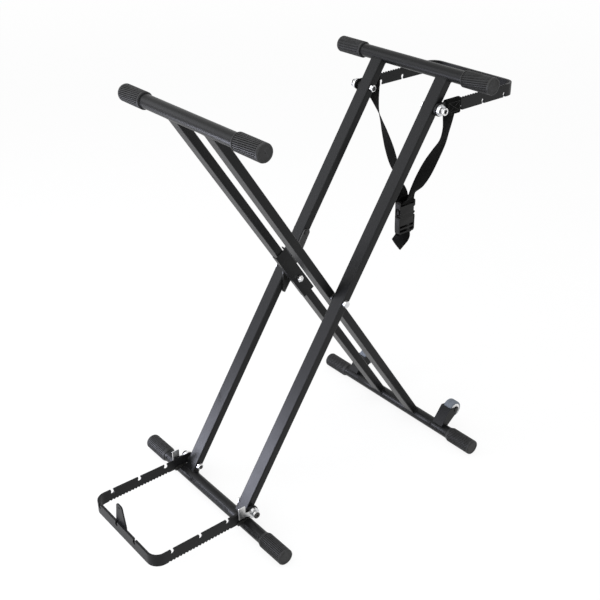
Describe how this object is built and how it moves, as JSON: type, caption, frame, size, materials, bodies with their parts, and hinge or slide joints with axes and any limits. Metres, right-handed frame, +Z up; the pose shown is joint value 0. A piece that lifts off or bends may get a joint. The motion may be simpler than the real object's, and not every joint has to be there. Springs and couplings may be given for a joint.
{
  "type": "folding keyboard stand",
  "caption": "Folding scissor stand with double-braced legs, notched fold-out toe and handle bars, a buckled webbing strap and transport wheels.",
  "frame": {"origin": "on the floor, halfway between the toe bar's and the handle bar's ends, in the stand's middle plane", "axes": "+X from the toe bar to the handle bar, +Y along the rails to the latch side, +Z up"},
  "size_m": [0.9246, 0.476, 0.8363],
  "materials": {
    "black_paint": "satin black powder coat",
    "black_rubber": "matte, ribbed",
    "zinc": "bright zinc plate",
    "black_steel": "black oxide",
    "wheel_rubber": "matte blue-grey",
    "wheel_plastic": "matte white",
    "webbing": "woven, dull",
    "buckle_plastic": "moulded, slightly glossy"
  },
  "bodies": {
    "outer_frame": {"outer_leg_left": "black_paint", "outer_leg_right": "black_paint", "outer_top_rail": "black_paint", "outer_foot_rail": "black_paint", "outer_top_cap_left": "black_rubber", "outer_top_cap_right": "black_rubber", "outer_foot_cap_left": "black_rubber", "outer_foot_cap_right": "black_rubber", "pivot_bolt_left": "zinc", "pivot_bolt_right": "zinc", "pivot_nut_left": "zinc", "pivot_nut_right": "zinc", "pivot_washer_right": "black_steel", "latch_pin": "black_steel", "toe_bolt_left": "black_steel", "toe_bolt_right": "black_steel", "toe_nut_left": "zinc", "toe_nut_right": "zinc", "toe_spring_left": "zinc", "toe_spring_right": "zinc", "handle_bolt_left": "black_steel", "handle_bolt_right": "black_steel", "handle_nut_left": "zinc", "handle_nut_right": "zinc", "handle_spring_left": "zinc", "handle_spring_right": "zinc"},
    "inner_frame": {"inner_leg_left": "black_paint", "inner_leg_right": "black_paint", "inner_top_rail": "black_paint", "inner_foot_rail": "black_paint", "inner_top_cap_left": "black_rubber", "inner_top_cap_right": "black_rubber", "inner_foot_cap_left": "black_rubber", "inner_foot_cap_right": "black_rubber", "index_hub": "black_steel", "hub_channel": "black_paint", "wheel_bracket_left": "black_paint", "wheel_bracket_right": "black_paint"},
    "latch": {"latch_lever": "black_steel"},
    "toe_bar": {"toe_bar": "black_paint", "toe_tab": "black_paint", "rest_clip_left": "black_steel", "rest_clip_right": "black_steel"},
    "toe_lock_left": {"toe_lock_left": "zinc"},
    "toe_lock_right": {"toe_lock_right": "zinc"},
    "handle_bar": {"handle_bar": "black_paint", "strap_loop_left": "webbing", "strap_loop_right": "webbing"},
    "handle_lock_left": {"handle_lock_left": "zinc"},
    "handle_lock_right": {"handle_lock_right": "zinc"},
    "strap": {"strap_strand_left": "webbing", "strap_strand_right": "webbing", "strap_tail": "webbing", "buckle_socket": "buckle_plastic", "buckle_plug": "buckle_plastic"},
    "wheel_left": {"wheel_tread_left": "wheel_rubber", "wheel_hub_left": "wheel_plastic"},
    "wheel_right": {"wheel_tread_right": "wheel_rubber", "wheel_hub_right": "wheel_plastic"}
  },
  "joints": [
    {"name": "fold", "type": "hinge", "parent": "outer_frame", "child": "inner_frame", "pos_m": [0.01527, 0, 0.41815], "axis": [0, 1, 0], "range_deg": [-50, 62]},
    {"name": "latch_lift", "type": "hinge", "parent": "outer_frame", "child": "latch", "pos_m": [0.06455, 0.0728, 0.49346], "axis": [0, 1, 0], "range_deg": [0, 2.2], "stiffness_Nm_per_rad": 5, "springref_deg": -1.72},
    {"name": "toe_fold", "type": "hinge", "parent": "outer_frame", "child": "toe_bar", "pos_m": [-0.23277, 0, 0.03909], "axis": [0, 1, 0], "range_deg": [0, 117]},
    {"name": "toe_lock_left_pull", "type": "slide", "parent": "toe_bar", "child": "toe_lock_left", "axis": [0, 1, 0], "range_m": [0, 0.0025], "stiffness_N_per_m": 4000, "springref_m": -0.001, "deforming": ["toe_spring_left"]},
    {"name": "toe_lock_right_pull", "type": "slide", "parent": "toe_bar", "child": "toe_lock_right", "axis": [0, -1, 0], "range_m": [0, 0.0025], "stiffness_N_per_m": 4000, "springref_m": -0.001, "deforming": ["toe_spring_right"]},
    {"name": "handle_fold", "type": "hinge", "parent": "outer_frame", "child": "handle_bar", "pos_m": [0.23977, 0, 0.76122], "axis": [0, 1, 0], "range_deg": [0, 78]},
    {"name": "handle_lock_left_pull", "type": "slide", "parent": "handle_bar", "child": "handle_lock_left", "axis": [0, 1, 0], "range_m": [0, 0.0025], "stiffness_N_per_m": 4000, "springref_m": -0.001, "deforming": ["handle_spring_left"]},
    {"name": "handle_lock_right_pull", "type": "slide", "parent": "handle_bar", "child": "handle_lock_right", "axis": [0, -1, 0], "range_m": [0, 0.0025], "stiffness_N_per_m": 4000, "springref_m": -0.001, "deforming": ["handle_spring_right"]},
    {"name": "strap_hang", "type": "hinge", "parent": "handle_bar", "child": "strap", "pos_m": [0.27527, 0, 0.76122], "axis": [0, 1, 0], "range_deg": [-79, 1]},
    {"name": "wheel_left_spin", "type": "hinge", "parent": "inner_frame", "child": "wheel_left", "pos_m": [0.3116, 0.141, 0.0575], "axis": [0, 1, 0], "continuous": true},
    {"name": "wheel_right_spin", "type": "hinge", "parent": "inner_frame", "child": "wheel_right", "pos_m": [0.3116, -0.141, 0.0575], "axis": [0, 1, 0], "continuous": true}
  ],
  "couplings": [
    {"joint": "strap_hang", "follows": "handle_fold", "ratio": -1}
  ]
}
